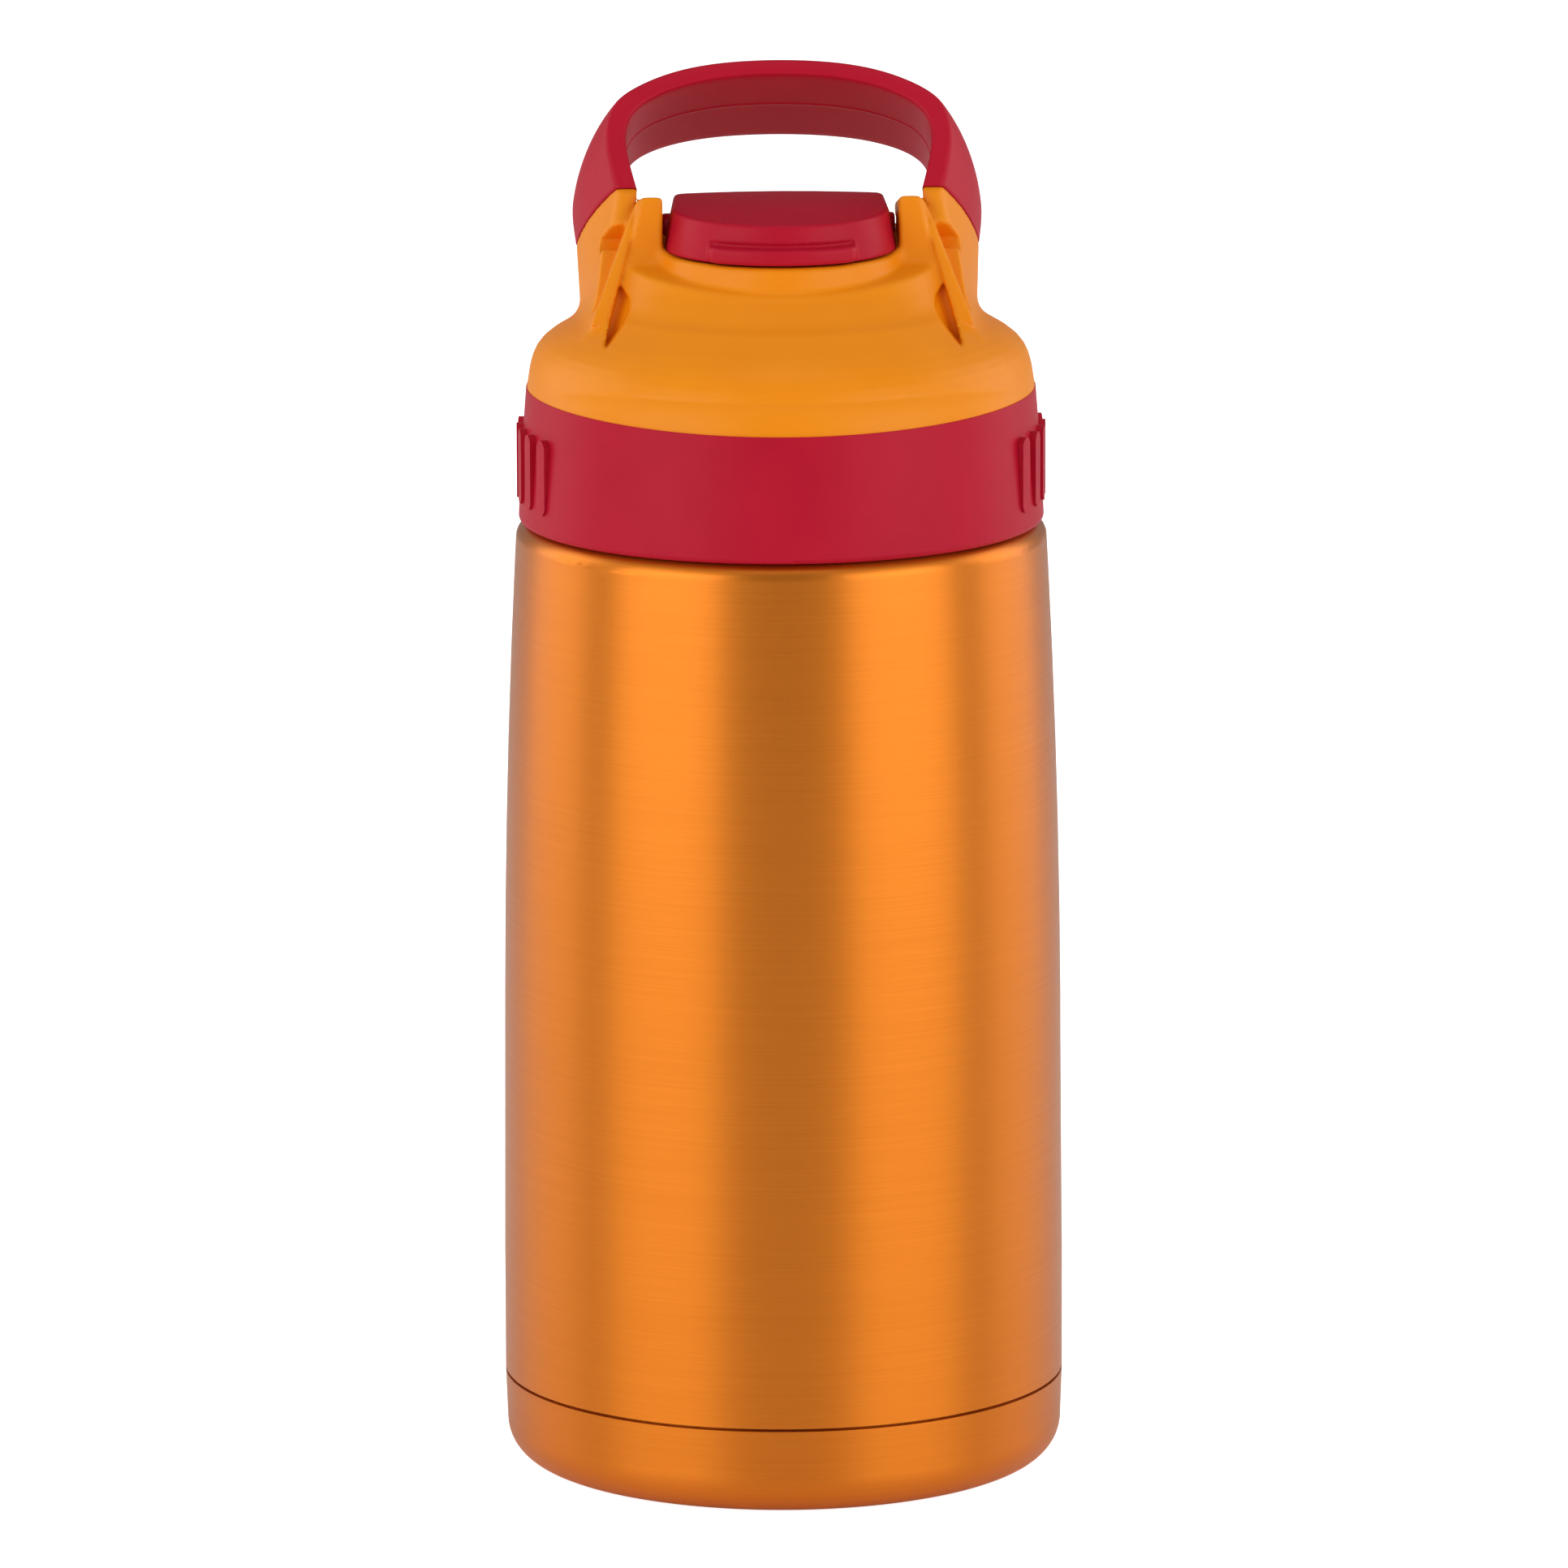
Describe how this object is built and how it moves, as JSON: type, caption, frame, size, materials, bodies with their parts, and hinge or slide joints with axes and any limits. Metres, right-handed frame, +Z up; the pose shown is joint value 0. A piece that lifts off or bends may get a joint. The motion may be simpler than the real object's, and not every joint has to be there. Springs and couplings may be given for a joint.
{
  "type": "insulated drinking bottle",
  "caption": "Child's vacuum insulated steel drinking bottle with a screw lid, a flip cover over a folding straw spout and a fixed carry loop.",
  "frame": {"origin": "centre of the standing ring, on the surface that the bottle stands on", "axes": "+Z up along the bottle, -Y to the front, where the cover has its thumb lip, +X to the bottle's right as seen from the front"},
  "size_m": [0.073, 0.073, 0.1825],
  "materials": {
    "lacquered_steel": "brushed, transparent orange lacquer",
    "orange_plastic": "satin",
    "red_plastic": "satin",
    "bare_steel": "brushed",
    "pin_steel": "polished",
    "silicone": "matt",
    "clear_plastic": "translucent",
    "deck_plastic": "satin",
    "getter": "matt"
  },
  "bodies": {
    "bottle": {"outer_shell": "lacquered_steel", "base_cap": "lacquered_steel", "inner_vessel": "bare_steel", "vacuum_floor": "bare_steel", "seal_bead": "getter", "getter_pellet": "getter"},
    "gasket": {"lid_gasket": "silicone"},
    "lid": {"lid_collar": "red_plastic", "lid_housing": "orange_plastic", "handle_loop": "red_plastic", "lid_deck": "deck_plastic", "hinge_pin": "pin_steel", "straw_stem": "deck_plastic", "straw": "clear_plastic", "vent_valve": "silicone", "spout_seat": "silicone", "spout_spring": "pin_steel"},
    "cover": {"spout_cover": "red_plastic"},
    "spout": {"spout_rotor": "red_plastic", "spout_tip": "silicone"}
  },
  "joints": [
    {"name": "lid_rise", "type": "slide", "parent": "bottle", "child": "gasket", "axis": [0, 0, 1], "range_m": [0, 0.005]},
    {"name": "lid_turn", "type": "hinge", "parent": "gasket", "child": "lid", "pos_m": [0, 0, 0.1395], "axis": [0, 0, 1], "range_deg": [0, 360]},
    {"name": "cover_flip", "type": "hinge", "parent": "lid", "child": "cover", "pos_m": [0, 0.0135, 0.1598], "axis": [-1, 0, 0], "range_deg": [0, 68]},
    {"name": "spout_lift", "type": "hinge", "parent": "lid", "child": "spout", "pos_m": [0, 0.003, 0.1534], "axis": [-1, 0, 0], "range_deg": [0, 80]}
  ],
  "couplings": [
    {"joint": "lid_rise", "follows": "lid_turn", "m_per_rad": 0.00079577},
    {"joint": "spout_lift", "follows": "cover_flip", "ratio": 1.1764}
  ]
}
